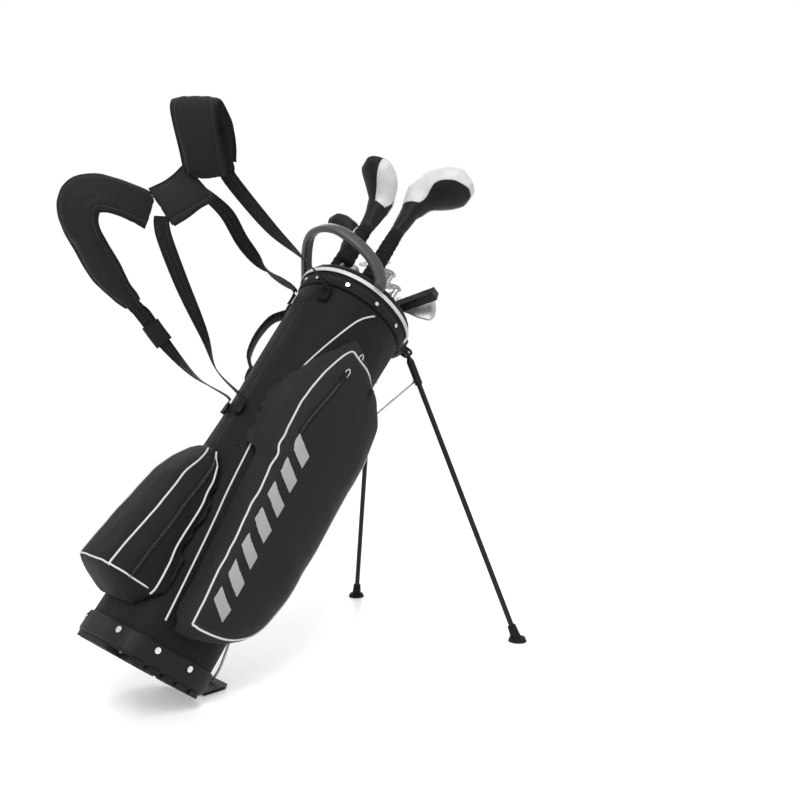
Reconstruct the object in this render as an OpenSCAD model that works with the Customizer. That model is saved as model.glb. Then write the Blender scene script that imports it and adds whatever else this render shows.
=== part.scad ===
// Golf club set: a stand bag on two legs, with nine clubs and three head covers.
// Row frame: +Z up from the ground, +X from the bag's foot towards the legs' feet,
// origin on the ground, in the middle of the foot flap's underside.
// Bag frame: x towards the legs, y across, z along the bag; lean() turns it into the row frame.

/* [Stance] */
// Angle that the bag leans at, from upright
lean_a = 38; // [30:0.5:45]
// Distance of the leg feet from the tilting edge, along the ground
foot_x = 625; // [560:5:690]
// Distance of each leg foot from the middle plane
foot_y = 245; // [200:5:290]

/* [Bag] */
// Height of the collar's rim along the bag
bag_h = 800; // [700:5:920]
// Half depth of the boot, towards the legs
boot_a = 103; // [90:1:115]
// Half width of the boot, across
boot_b = 97; // [85:1:110]
// Half depth of the tube at the collar
top_a = 117; // [105:1:130]
// Half width of the tube at the collar
top_b = 109; // [98:1:120]
// Wall of the fabric tube
tube_wall = 3; // [2:0.5:5]
// Height of the moulded boot
boot_h = 44; // [36:1:70]
// Wall of the moulded boot
boot_wall = 4; // [3:0.5:6]
// Height of the tread lugs under the boot
tread_h = 7; // [4:0.5:10]
// Height of the padded collar
collar_h = 56; // [40:1:75]
// Width of the padded collar's rim
rim_w = 20; // [14:1:26]
// Width of the pale trim band under the collar
trim_h = 8; // [5:0.5:12]
// Thickness of the divider bars
bar_t = 8; // [5:0.5:10]
// Depth of the divider bars
bar_h = 55; // [30:1:80]

/* [Pockets] */
// How far the apparel pocket stands out from the tube
apparel_d = 62; // [40:1:80]
// How far the ball pocket stands out from the tube
ball_d = 68; // [45:1:85]
// Height of the ball pocket's top along the bag
ball_top = 372; // [320:2:420]

/* [Legs] */
// Radius of the leg tubes
leg_r = 5.5; // [4:0.25:8]
// Radius of the moulded sleeve at the top of a leg
sleeve_r = 8; // [7:0.25:10]
// Length of the moulded sleeve
sleeve_l = 70; // [50:1:100]
// Radius of the rubber foot
pad_r = 19; // [14:0.5:24]
// Height of the leg hinges along the bag
hinge_h = 772; // [680:2:860]
// Distance of each leg hinge from the middle plane
hinge_y = 53; // [46:0.5:60]
// Distance of the leg hinges beyond the tube
hinge_out = 15; // [13:0.5:20]
// Radius of the hinge pins
pin_r = 2.5; // [2:0.25:3]
// Radial clearance of a turning pin
run_fit = 0.06; // [0.02:0.01:0.1]

/* [Actuator] */
// Distance from a leg hinge to the stay's pivot on the leg
stay_arm = 60; // [50:1:66]
// Length of a stay between the leg and the push rod
stay_l = 190; // [160:2:220]
// Radius of the push rod wire
rod_r = 2.5; // [2:0.25:3.5]
// Length of the foot flap
flap_l = 58; // [46:1:70]
// Width of the foot flap
flap_w = 84; // [60:2:100]
// Thickness of the foot flap
flap_t = 5; // [4:0.5:7]

/* [Clubs] */
// Radius of a club shaft
shaft_r = 5; // [4:0.25:6]
// Radius of a grip at its butt
grip_r = 13; // [11:0.25:13.25]
// Length of a grip
grip_l = 265; // [240:5:280]
// Travel that lifts a club clear of the bag
club_travel = 900; // [700:10:1100]
// Wall of a head cover
cover_wall = 3; // [2:0.5:5]

/* [Harness] */
// Width of the shoulder pads
pad_w = 66; // [50:1:80]
// Thickness of the shoulder pads
pad_t = 12; // [8:1:18]
// Width of the webbing
web_w = 26; // [20:1:32]
// Thickness of the webbing
web_t = 2; // [1.5:0.25:3]

/* [Hidden] */
$fn = 48;

// Gap between pieces of different bodies, and between soft pieces that only meet
gap = 0.3;
// Overlap that makes a cut or a joined shape clean
cut = 1;
near = -1;
far = 1;

// ---- frames ----
// Bag frame place of the flap's hinge, and how far the origin is in front of the tilting edge
flap_pin_p = [boot_a + 5, 0, 10];
edge_x = (flap_pin_p[0] - boot_a) * cos(lean_a) + flap_pin_p[2] * sin(lean_a) + flap_l / 2;
// Row frame position of a bag frame point
function to_row(p) = [
    (p[0] - boot_a) * cos(lean_a) + p[2] * sin(lean_a) - edge_x,
    p[1],
    -(p[0] - boot_a) * sin(lean_a) + p[2] * cos(lean_a)];
// Bag frame position of a row frame point
function to_bag(p) = [
    boot_a + (p[0] + edge_x) * cos(lean_a) - p[2] * sin(lean_a),
    p[1],
    (p[0] + edge_x) * sin(lean_a) + p[2] * cos(lean_a)];
module lean() translate([-edge_x, 0, 0]) rotate([0, lean_a, 0]) translate([-boot_a, 0, 0]) children();

// ---- vectors ----
function unit(v) = v / norm(v);
function mix(a, b, t) = a + (b - a) * t;
// Value of a table of [key, value] rows at a key, straight between rows
function at(rows, k) =
    k <= rows[0][0] ? rows[0][1] :
    k >= rows[len(rows) - 1][0] ? rows[len(rows) - 1][1] :
    [for (i = [0 : len(rows) - 2]) if (k >= rows[i][0] && k < rows[i + 1][0])
        mix(rows[i][1], rows[i + 1][1], (k - rows[i][0]) / (rows[i + 1][0] - rows[i][0]))][0];

// ---- lofts ----
// Closed skin through rings with equal numbers of points, each ring turning the same way
module skin(rings) {
    n = len(rings[0]);
    m = len(rings);
    points = [for (r = rings) for (p = r) p];
    sides = [for (i = [0 : m - 2]) for (j = [0 : n - 1]) each [
        [i * n + j, i * n + (j + 1) % n, (i + 1) * n + (j + 1) % n],
        [i * n + j, (i + 1) * n + (j + 1) % n, (i + 1) * n + j]]];
    foot = [[for (j = [n - 1 : -1 : 0]) j]];
    head = [[for (j = [0 : n - 1]) (m - 1) * n + j]];
    polyhedron(points, [for (f = concat(foot, sides, head)) [for (k = [len(f) - 1 : -1 : 0]) f[k]]]);
}
// Rounded oblong ring; power 2 is an ellipse and higher powers are squarer
function oblong(a, b, z, power = 2, sides = 48, shift = [0, 0]) = [
    for (i = [0 : sides - 1]) let (t = 360 * i / sides)
        [shift[0] + a * sign(cos(t)) * pow(abs(cos(t)), 2 / power),
         shift[1] + b * sign(sin(t)) * pow(abs(sin(t)), 2 / power), z]];
// Smooth route through hand-set points
function spline_at(p, i, t) = let (
        n = len(p),
        a = p[max(i - 1, 0)], b = p[i], c = p[min(i + 1, n - 1)], d = p[min(i + 2, n - 1)])
    0.5 * (2 * b + (c - a) * t + (2 * a - 5 * b + 4 * c - d) * t * t
        + (3 * b - a - 3 * c + d) * t * t * t);
function route(p, steps) = concat(
    [for (i = [0 : len(p) - 2]) for (s = [0 : steps - 1]) spline_at(p, i, s / steps)],
    [p[len(p) - 1]]);
function tangent(p, i) = unit(p[min(i + 1, len(p) - 1)] - p[max(i - 1, 0)]);
// Section [w, t] swept along a route; its width follows a side vector that turns to a second one
module sweep(p, w, t, side, side_b, power = 2, sides = 12, sizes = [[0, 1], [1, 1]]) {
    n = len(p);
    skin([for (i = [0 : n - 1]) let (
            dir = tangent(p, i),
            out = unit(cross(dir, mix(unit(side), unit(side_b), i / (n - 1)))),
            wide = unit(cross(out, dir)),
            k = at(sizes, i / (n - 1)))
        [for (q = oblong(w / 2 * k, t / 2 * k, 0, power, sides)) p[i] + wide * q[0] + out * q[1]]]);
}
// Round bar between two points
module bar(p, q, r) {
    v = q - p;
    translate(p) rotate([0, acos(v[2] / norm(v)), atan2(v[1], v[0])]) cylinder(r = r, h = norm(v));
}
// Turns the Z axis to a direction at a point
module toward(p, v) {
    translate(p) rotate([0, acos(v[2] / norm(v)), atan2(v[1], v[0])]) children();
}

// ---- the bag's own shape ----
tube_foot = tread_h + boot_wall;
collar_foot = bag_h - collar_h;
boot_power = 3.4;
top_power = 2.1;
// How far up the tube, from the boot's rim to the collar's
function rise(z) = max(z - boot_h, 0) / (bag_h - boot_h);
function tube_a(z) = mix(boot_a - boot_wall, top_a, rise(z));
function tube_b(z) = mix(boot_b - boot_wall, top_b, rise(z));
function tube_power(z) = mix(boot_power, top_power, min(rise(z) * 2, 1));
tube_levels = [for (i = [0 : 8]) mix(boot_h, collar_foot - gap, i / 8)];
function tube_ring(z, off = 0) = oblong(tube_a(z) + off, tube_b(z) + off, z, tube_power(z), 56);
// Place on the tube at an angle from the leg side, towards the far side
function tube_skin(t, z) = let (
        p = tube_power(z),
        k = pow(pow(abs(cos(t)) / tube_a(z), p) + pow(abs(sin(t)) / tube_b(z), p), -1 / p))
    [k * cos(t), k * sin(t), z];
// Outward normal there, and the place moved out along it
function tube_normal(t, z) = let (q = tube_skin(t, z), p = tube_power(z) - 1)
    unit([sign(q[0]) * pow(abs(q[0]) / tube_a(z), p) / tube_a(z),
        sign(q[1]) * pow(abs(q[1]) / tube_b(z), p) / tube_b(z), 0]);
function tube_point(t, z, off = 0) = tube_skin(t, z) + tube_normal(t, z) * off;

module base_boot() color([0.05, 0.05, 0.055]) lean() {
    corner = 42;
    lugs = 5;
    difference() {
        skin([for (s = [[tread_h, -3], [tread_h + 6, 0], [boot_h - 3, 0], [boot_h, -1.5]])
            oblong(boot_a + s[1], boot_b + s[1], s[0], boot_power, 56)]);
        skin([for (z = [tube_foot, boot_h + cut])
            oblong(boot_a - boot_wall + gap, boot_b - boot_wall + gap, z, boot_power, 56)]);
    }
    // Tread lugs along both long sides and across both ends
    lug_l = (boot_a - corner * 0.6) * 2 / (lugs * 1.4);
    intersection() {
        skin([for (z = [0, tread_h + cut]) oblong(boot_a - 1, boot_b - 1, z, boot_power, 56)]);
        union() {
            for (side = [near, far], i = [0 : lugs - 1])
                translate([mix(corner - boot_a, boot_a - corner, i / (lugs - 1)) - lug_l / 2,
                    side * (boot_b - 18) - 24, 0])
                    cube([lug_l, 48, tread_h + cut]);
            for (end = [-1, 1]) translate([end * (boot_a - 12) - 16, -50, 0])
                cube([32, 100, tread_h + cut]);
        }
    }
    // Ears of the flap's hinge on the leg side
    for (side = [near, far]) difference() {
        union() {
            translate([boot_a - boot_wall + 1, side * ear_y - ear_t / 2, flap_pin_p[2] - 4.4])
                cube([flap_pin_p[0] - boot_a + boot_wall - 1, ear_t, 15]);
            translate([flap_pin_p[0], side * ear_y, flap_pin_p[2]]) rotate([90, 0, 0])
                cylinder(r = 4.4, h = ear_t, center = true);
        }
        translate([flap_pin_p[0], side * ear_y, flap_pin_p[2]]) rotate([90, 0, 0])
            cylinder(r = pin_r, h = ear_t + 2 * cut, center = true);
    }
}

module rivet(t, z, off = 0, r = 5) {
    toward(tube_point(t, z, off), tube_normal(t, z)) {
        cylinder(r = r, h = 1.6);
        translate([0, 0, 1.6]) cylinder(r = r * 0.62, h = 1);
    }
}
module base_rivets() color([0.8, 0.8, 0.82]) lean()
    for (t = [-150, -116, -76, 76, 116, 150])
        rivet(t, boot_h - 11, boot_wall + 0.9);

module bag_tube() color([0.08, 0.08, 0.085]) lean() difference() {
    skin([for (z = concat(tube_foot, tube_levels)) tube_ring(z)]);
    skin([for (z = concat(tube_foot + tube_wall, tube_levels, bag_h)) tube_ring(z, -tube_wall)]);
}

stay_rod_r = 3;
module tube_stays() color([0.75, 0.75, 0.7]) lean()
    for (t = [-90, 90], s = [-1, 1])
        bar(tube_point(t + s * 14, tube_foot + tube_wall + gap, -tube_wall - stay_rod_r - 1.2),
            tube_point(t + s * 14, collar_foot - gap, -tube_wall - stay_rod_r - 1.2), stay_rod_r);

// Height above the collar's foot, and how far its outside stands out from the tube
collar_rows = [[0, 1], [6, 4], [20, 5], [collar_h - 14, 6], [collar_h - 4, 4], [collar_h, -3]];
// Inside of the collar
mouth_a = top_a + 6 - rim_w;
mouth_b = top_b + 6 - rim_w;
module top_collar() color([0.1, 0.1, 0.105]) lean() difference() {
    collar_core();
    skin([for (s = [[-cut, 0], [collar_h - 10, 0], [collar_h - 3, 3], [collar_h + cut, 8]])
        oblong(mouth_a + s[1], mouth_b + s[1], collar_foot + s[0], top_power, 56)]);
    // Seats for the divider frame and the leg bracket
    translate([0, 0, bag_h - 4 - bar_h]) linear_extrude(bar_h + 8) offset(gap) divider_plan();
}

trim_z = collar_foot + 28;
module collar_trim() color([0.9, 0.9, 0.88]) lean() difference() {
    skin([for (z = [trim_z, trim_z + trim_h]) oblong(top_a + 7.7, top_b + 7.7, z, top_power, 56)]);
    skin([for (z = [trim_z - cut, trim_z + trim_h + cut])
        oblong(top_a + 6.2, top_b + 6.2, z, top_power, 56)]);
    translate([top_a - 14, -hinge_y - 16, trim_z - cut])
        cube([40, 2 * hinge_y + 32, trim_h + 2 * cut]);
}

module collar_rivets() color([0.8, 0.8, 0.82]) lean()
    for (t = [-172, -140, -108, -76, 76, 108, 140, 172]) rivet(t, collar_foot + 10, 6.2, 4);

// Divider bars seen along the bag
bar_x = -38;
loop_y = 38;
loop_l = 46;
module divider_plan() {
    // Bar across the mouth
    translate([bar_x - bar_t / 2, -mouth_b - 3]) square([bar_t, 2 * mouth_b + 6]);
    // Loop that runs from the spine and turns back under the bar
    for (side = [near, far]) translate([-mouth_a + 4, side * loop_y - bar_t / 2])
        square([mouth_a + bar_x - 4, bar_t]);
    difference() {
        translate([bar_x, 0]) polygon(arc_points(loop_l + bar_t / 2, loop_y + bar_t / 2));
        translate([bar_x, 0]) polygon(arc_points(loop_l - bar_t / 2, loop_y - bar_t / 2));
    }
    // Two bars from the loop out to the sides
    for (side = [near, far]) translate([2, side * 27]) rotate(side * 77) translate([0, -bar_t / 2])
        square([mouth_b - 25, bar_t]);
}
function arc_points(a, b) = [for (i = [0 : 24]) let (t = -90 + 180 * i / 24) [a * cos(t), b * sin(t)]];
module divider_frame() color([0.12, 0.12, 0.125]) lean()
    translate([0, 0, bag_h - 4 - bar_h]) linear_extrude(bar_h) intersection() {
        divider_plan();
        polygon([for (p = oblong(mouth_a + 4, mouth_b + 4, 0, top_power, 56)) [p[0], p[1]]]);
    }

// ---- handles ----
// Outside of the collar as one solid
module collar_core(off = 0)
    skin([for (r = collar_rows) oblong(top_a + r[1] + off, top_b + r[1] + off,
        collar_foot + r[0], top_power, 56)]);
// Arched grip that rises off the collar's sides and stands out over the spine
module collar_handle() color([0.28, 0.28, 0.29]) lean() difference() {
    half = [[-50, -112, 770], [-56, -113, 794], [-84, -103, 818], [-122, -78, 835],
        [-154, -42, 845], [-164, 0, 848]];
    path = concat(half, [for (i = [4 : -1 : 0]) [half[i][0], -half[i][1], half[i][2]]]);
    sweep(route(path, 4), 26, 15, [0.5, 0, 1], [0.5, 0, 1], 2.6, 12);
    collar_core();
    translate([0, 0, trim_z + trim_h + gap - bag_h]) linear_extrude(bag_h) square(4 * top_a, center = true);
}

handle_t = 134;
module carry_handle() color([0.15, 0.15, 0.155]) lean() {
    low = 560;
    high = 704;
    n = tube_normal(handle_t, 640);
    side = cross(n, [0, 0, 1]);
    path = [for (s = [[0, 3], [0.06, 12], [0.2, 26], [0.5, 32], [0.8, 26], [0.94, 12], [1, 3]])
        tube_point(handle_t, mix(low, high, s[0]), s[1])];
    sweep(route(path, 3), 30, 7, side, side, 3, 12);
    for (z = [low - 8, high + 8]) toward(tube_point(handle_t, z, 0.4), n)
        cylinder(r = 17, h = 4.5);
}
module handle_rivets() color([0.8, 0.8, 0.82]) lean()
    for (z = [552, 712]) toward(tube_point(handle_t, z, 4.9), tube_normal(handle_t, z))
        cylinder(r1 = 5, r2 = 3, h = 2);

// ---- pockets ----
// Part of the tube's outside that a pocket's back lies against
module tube_core(off) skin([for (z = concat(0, tube_levels, bag_h)) tube_ring(z, off)]);
// Seam where the two pockets meet the tube, and the ball pocket's greatest half width
seam_x = -62;
ball_side = 86;
// Half width of the apparel pocket to each side, against height
apparel_left = [[58, 46], [90, 62], [200, 78], [330, 92], [470, 104], [560, 94], [640, 64], [676, 44]];
apparel_right = [[58, -10], [76, 44], [100, 80], [140, 102], [200, 116], [300, 120], [480, 118],
    [550, 108], [592, 76], [630, 20], [676, -34]];
apparel_bulge = [[58, 0.2], [76, 0.72], [110, 0.94], [300, 1], [500, 0.98], [570, 0.9], [640, 0.6],
    [676, 0.15]];
function apparel_ring(z) = let (
        l = -at(apparel_left, z),
        r = at(apparel_right, z),
        d = tube_b(z) + 8 + (apparel_d - 8) * at(apparel_bulge, z),
        mid = (l + r) / 2,
        half = (r - l) / 2)
    [for (i = [0 : 23]) let (
            t = 360 * i / 24,
            x = mid + half * sign(cos(t)) * pow(abs(cos(t)), 0.72),
            y = sin(t) > 0 ? -30 : -34 - (d - 34) * pow(-sin(t), 0.42))
        [x, y, z]];
// Place of the apparel pocket's front, at a distance along x and a height
function apparel_front(x, z) = let (
        l = -at(apparel_left, z),
        r = at(apparel_right, z),
        d = tube_b(z) + 8 + (apparel_d - 8) * at(apparel_bulge, z),
        u = abs(x - (l + r) / 2) / ((r - l) / 2))
    [x, -34 - (d - 34) * pow(sqrt(1 - pow(u, 2 / 0.72)), 0.42), z];
module apparel_pocket() color([0.16, 0.16, 0.165]) lean() difference() {
    skin([for (z = [58, 76, 100, 140, 200, 300, 400, 480, 550, 592, 630, 660, 676])
        apparel_ring(z)]);
    tube_core(gap);
    skin([for (z = [0, boot_h + 1]) oblong(boot_a + 1, boot_b + 1, z, boot_power, 56)]);
    // Clear of the ball pocket beside it
    translate([seam_x - top_a, -ball_side - 2, 0]) cube([top_a, top_b + ball_side, ball_top + 8]);
}

// Reach of the ball pocket's front beyond the tube, against height
ball_reach = [[62, 0.25], [84, 0.82], [104, 1.18], [190, 1], [240, 0.86], [290, 0.74], [330, 0.5],
    [ball_top - 14, 0.32], [ball_top, 0.08]];
ball_half = [[62, 60], [104, ball_side], [240, ball_side - 2], [300, 76], [340, 62], [ball_top, 36]];
function ball_ring(z) = let (
        reach = tube_a(z) + ball_d * at(ball_reach, z),
        half = at(ball_half, z))
    [for (i = [0 : 23]) let (
            t = 180 + 360 * i / 24,
            y = half * sign(sin(t)) * pow(abs(sin(t)), 0.62),
            x = cos(t) > 0 ? -30 : -34 - (reach - 34) * pow(-cos(t), 0.44))
        [x, y, z]];
module ball_pocket() color([0.1, 0.1, 0.105]) lean() difference() {
    skin([for (z = [62, 84, 104, 150, 190, 240, 290, 330, ball_top - 14, ball_top]) ball_ring(z)]);
    tube_core(gap);
    // Clear of the apparel pocket beside it
    translate([seam_x - gap, -top_b - apparel_d, 0]) cube([top_a, top_b + apparel_d - 30, bag_h]);
}
// Pulls that lie on the pocket's front, at the ends of its zips
module zip_pulls() color([0.07, 0.07, 0.075]) lean()
    for (q = [[-47, 562], [20, 576]]) translate(apparel_front(q[0], q[1]) + [0, -1.6 - gap, 0])
        cube([6, 2.4, 26], center = true);

// ---- leg hinges ----
hinge_p = [top_a + hinge_out, hinge_y, hinge_h];
feet_x = foot_x - edge_x;
foot_p = to_bag([feet_x, foot_y, 0]);
leg_v = foot_p - hinge_p;
// Direction across the belly that a leg swings out in, and the hinge axis
swing = unit([leg_v[0], leg_v[1], 0]);
axle = [-swing[1], swing[0], 0];
open_a = atan2(norm([leg_v[0], leg_v[1]]), -leg_v[2]);
leg_l = norm(leg_v);
bracket_t = 12;
eye_w = 9;
ear_w = 4;
// Places a shape drawn in a leg hinge's own frame: x swings out, y along the pin, z along the bag
module at_hinge(side) lean() translate([hinge_p[0], side * hinge_p[1], hinge_p[2]])
    rotate([0, 0, side * atan2(swing[1], swing[0])]) children();
module leg_bracket() color([0.09, 0.09, 0.095]) difference() {
    union() {
        for (side = [near, far], e = [-1, 1]) at_hinge(side)
            translate([0, e * (eye_w / 2 + gap + ear_w / 2), 0]) rotate([90, 0, 0]) {
                cylinder(r = 8, h = ear_w, center = true);
                translate([-14, 0, 0]) cube([28, 16, ear_w], center = true);
            }
        lean() intersection() {
            skin([for (z = [hinge_h - 17, hinge_h + 14])
                oblong(top_a + bracket_t, top_b + bracket_t, z, top_power, 56)]);
            translate([20, -hinge_y - 13, 0]) cube([top_a * 2, 2 * hinge_y + 26, bag_h * 2]);
        }
    }
    lean() collar_core(2 * gap);
    for (side = [near, far]) at_hinge(side) rotate([90, 0, 0])
        cylinder(r = pin_r, h = 40, center = true);
}
module bracket_screws() color([0.75, 0.75, 0.77]) lean()
    for (side = [near, far], z = [hinge_h - 12, hinge_h + 10])
        toward(tube_point(side * 10, z, bracket_t + top_a - tube_a(z) + 0.1), tube_normal(side * 10, z))
            cylinder(r = 3.4, h = 2);
module leg_pins() color([0.7, 0.7, 0.72]) for (side = [near, far]) at_hinge(side)
    rotate([90, 0, 0]) cylinder(r = pin_r, h = eye_w + 2 * ear_w + 2 * gap, center = true);

// Places a shape drawn along a leg: z from the hinge towards the foot, y along the pin
module on_leg(side) at_hinge(side) rotate([0, 180 - open_a, 0]) children();
plug_l = 34;
module leg_sleeve(side) color([0.08, 0.08, 0.085]) on_leg(side) difference() {
    union() {
        rotate([90, 0, 0]) cylinder(r = 7, h = eye_w, center = true);
        cylinder(r = eye_w / 2, h = 11);
        translate([0, 0, 10]) cylinder(r1 = eye_w / 2, r2 = sleeve_r, h = 8);
        translate([0, 0, 18]) cylinder(r = sleeve_r, h = sleeve_l - 18);
        // Lug that carries the stay
        translate([0, -side * (stay_s - stay_eye / 2 - gap - 4), stay_arm]) cube([7, 8, 8], center = true);
    }
    rotate([90, 0, 0]) cylinder(r = pin_r + run_fit, h = eye_w + 2 * cut, center = true);
    translate([0, 0, plug_l]) cylinder(r = leg_r, h = sleeve_l);
}
module leg_tube(side) color([0.09, 0.09, 0.095]) on_leg(side)
    translate([0, 0, plug_l]) cylinder(r = leg_r, h = leg_l - plug_l - 9);
// Rubber foot, flat on the ground, with a socket for the tube
module leg_foot(side) color([0.06, 0.06, 0.065]) difference() {
    union() {
        translate([feet_x, side * foot_y, 0]) cylinder(r1 = pad_r, r2 = pad_r - 3, h = 8);
        intersection() {
            on_leg(side) translate([0, 0, leg_l - 34]) cylinder(r1 = leg_r + 3, r2 = leg_r + 6, h = 40);
            translate([feet_x - 60, side * foot_y - 60, 0]) cube([120, 120, 60]);
        }
    }
    on_leg(side) translate([0, 0, leg_l - 9 - 40]) cylinder(r = leg_r, h = 40);
}

// ---- leg actuator ----
stay_s = sleeve_r + 4.8;
stay_eye = 5;
rod_in = 14;
stay_top = [stay_arm * sin(open_a), -stay_s, -stay_arm * cos(open_a)];
stay_drop = sqrt(stay_l * stay_l - pow(stay_top[0] + rod_in, 2));
stay_low = [-rod_in, -stay_s, stay_top[2] - stay_drop];
function on_side(p, side) = [p[0], side * p[1], p[2]];
module stay(side) color([0.3, 0.3, 0.31]) at_hinge(side) {
    bar(on_side(stay_top, side), on_side(stay_low, side), 2);
    for (p = [stay_top, stay_low]) translate(on_side(p, side)) rotate([90, 0, 0])
        cylinder(r = 4, h = stay_eye, center = true);
}
// Bag frame place of a stay's lower end
stay_end = hinge_p + swing * stay_low[0] + axle * stay_low[1] + [0, 0, stay_low[2]];
rod_y = stay_end[1] - 5.6;
rod_x = stay_end[0] + 1;
ear_y = 25;
ear_t = 6;
flap_eye = 4;
// Row frame place of the flap's hinge
flap_hinge = to_row(flap_pin_p);
lever = 44;
rod_foot = to_bag([flap_hinge[0] + lever, 0, flap_t + rod_r + 3 * gap]);
module push_rod() color([0.55, 0.55, 0.57]) lean() {
    half = [[rod_x, rod_y, stay_end[2] + 6], [rod_x, rod_y, 470], [rod_x, rod_y, 380],
        [rod_x, rod_y, 320], [rod_x, 22, 260], [rod_x, 12, 200], [rod_x, 12, 130],
        [rod_x + 8, 12, 95], [rod_foot[0] - 1, 12, rod_foot[2] + 22], [rod_foot[0], 8, rod_foot[2] + 4]];
    path = concat(half, [[rod_foot[0], 0, rod_foot[2]]],
        [for (i = [len(half) - 1 : -1 : 0]) [half[i][0], -half[i][1], half[i][2]]]);
    sweep(route(path, 3), 2 * rod_r, 2 * rod_r, [1, 0, 0.15], [1, 0, 0.15], 2, 10);
}
module foot_flap() color([0.06, 0.06, 0.065]) difference() {
    union() {
        translate([flap_hinge[0] + 1, -flap_w / 2, 0]) linear_extrude(flap_t) union() {
            translate([6, 0]) square([flap_l - 20, flap_w]);
            translate([flap_l - 14, 10]) square([14, flap_w - 20]);
            for (y = [10, flap_w - 10]) translate([flap_l - 14, y]) circle(r = 10);
        }
        translate([flap_hinge[0], 0, flap_hinge[2]]) rotate([90, 0, 0])
            cylinder(r = flap_eye, h = 2 * (ear_y - ear_t / 2 - gap), center = true);
        translate([flap_hinge[0], -ear_y + ear_t / 2 + gap, 0.8])
            cube([9, 2 * (ear_y - ear_t / 2 - gap), flap_t - 0.8]);
    }
    translate([flap_hinge[0], 0, flap_hinge[2]]) rotate([90, 0, 0])
        cylinder(r = pin_r + run_fit, h = flap_w, center = true);
}
module flap_pin() color([0.7, 0.7, 0.72])
    translate([flap_hinge[0], 0, flap_hinge[2]]) rotate([90, 0, 0])
        cylinder(r = pin_r, h = 2 * ear_y + ear_t, center = true);

// ---- clubs ----
// Place in the mouth, height of the shaft's top end, direction the toe points in
driver = [[-12, -2], 1085, -72];
fairway = [[-76, 8], 1005, -165];
hybrid = [[-56, 56], 925, 126];
iron_6 = [[22, 30], 905, 90];
iron_7 = [[49, 24], 890, 88];
iron_8 = [[76, 18], 872, 82];
iron_9 = [[-10, 68], 855, 96];
wedge = [[81, -10], 840, -60];
putter = [[69, -36], 820, -90];
club_foot = tube_foot + tube_wall + gap;
module club(c) lean() translate([c[0][0], c[0][1], 0]) children();
module shaft(c) club(c) {
    color([0.75, 0.75, 0.77]) translate([0, 0, club_foot + grip_l])
        cylinder(r = shaft_r, h = c[1] - club_foot - grip_l);
    color([0.06, 0.06, 0.065]) translate([0, 0, club_foot])
        cylinder(r1 = grip_r, r2 = grip_r - 3, h = grip_l);
}
// Frame of a head: z along the shaft, x towards the toe
module head_frame(c) club(c) translate([0, 0, c[1]]) rotate([0, 0, c[2]]) children();
toe_a = 74;
// Wood head: rings from heel to toe
module wood_head(c, l, w, h) color([0.1, 0.1, 0.11]) head_frame(c) {
    cylinder(r = shaft_r + 1.5, h = 12);
    translate([0, 0, 12]) rotate([0, toe_a - 90, 0]) rotate([0, 90, 0])
        skin([for (s = [[-0.1, 0.16], [-0.07, 0.4], [0.02, 0.68], [0.2, 0.94], [0.45, 1], [0.7, 0.9],
                [0.88, 0.64], [0.97, 0.36], [1, 0.16]])
            oblong(h / 2 * s[1], w / 2 * s[1], l * s[0], 2.2, 24, [-h * 0.3, 0])]);
}
// Head cover: a sock up the shaft that bends over into a bulb round the head
module cover(c, l, w, h, sock) color([0.85, 0.85, 0.84]) head_frame(c) {
    difference() {
        cover_form(l, w, h, sock, 0);
        cover_form(l, w, h, sock, cover_wall);
        translate([0, 0, -sock - cut]) cylinder(r = shaft_r + gap, h = cover_wall + 2 * cut);
    }
}
module cover_form(l, w, h, sock, in) {
    path = [[0, 0, -sock], [0, 0, -sock * 0.7], [0, 0, -sock * 0.4], [0, 0, -sock * 0.15],
        [l * 0.04, 0, h * 0.2], [l * 0.26, 0, h * 0.62], [l * 0.52, 0, h * 0.78],
        [l * 0.78, 0, h * 0.82], [l * 1.0, 0, h * 0.78]];
    sizes = [[19, 19], [17, 17], [17, 17], [20, 22], [w * 0.36, h * 0.5], [w * 0.47, h * 0.56],
        [w * 0.5, h * 0.56], [w * 0.44, h * 0.47], [w * 0.16, h * 0.18]];
    n = len(path);
    skin([for (i = [0 : n - 1]) let (
            dir = tangent(path, i),
            up = unit([-dir[2], 0, dir[0]]),
            end = i == 0 ? dir * in : i == n - 1 ? -dir * in : [0, 0, 0],
            a = max(sizes[i][0] - in, shaft_r + 1),
            b = max(sizes[i][1] - in, shaft_r + 1))
        [for (q = oblong(b, a, 0, 2.3, 24)) path[i] + end + up * q[0] - [0, 1, 0] * q[1]]]);
}
// Iron head: a hosel, and a blade with a wide sole and a hollow back that rises towards the toe
module iron_head(c, l = 76, h = 52, loft = 30) color([0.7, 0.7, 0.72]) head_frame(c) difference() {
    union() {
        cylinder(r = 6.6, h = 34);
        translate([0, 0, 34]) rotate([0, -27, 0]) rotate([loft * 0.6, 0, 0])
            skin([for (s = [[-7, 0.44, 0.7, 4], [2, 0.54, 0.9, 4], [l * 0.2, 0.64, 1, 4],
                    [l * 0.25, 0.68, 1, 0.6], [l * 0.5, 0.86, 1, 0.6], [l * 0.78, 0.98, 1, 0.6],
                    [l * 0.83, 0.97, 1, 4], [l * 0.94, 0.86, 0.86, 4], [l, 0.62, 0.55, 3]])
                [for (p = [[-7, -1], [-4, -h + 2], [-2, -h], [2, -h], [4, -h + 1], [4, -h + 4],
                        [s[3], -h + 6], [s[3], -15], [11, -11], [12, -5], [9, 0], [0, 1.5]])
                    [s[0], p[0] * s[2], p[1] * s[1] + 10]]]);
    }
    translate([0, 0, -cut]) cylinder(r = shaft_r, h = 24 + cut);
}
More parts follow.
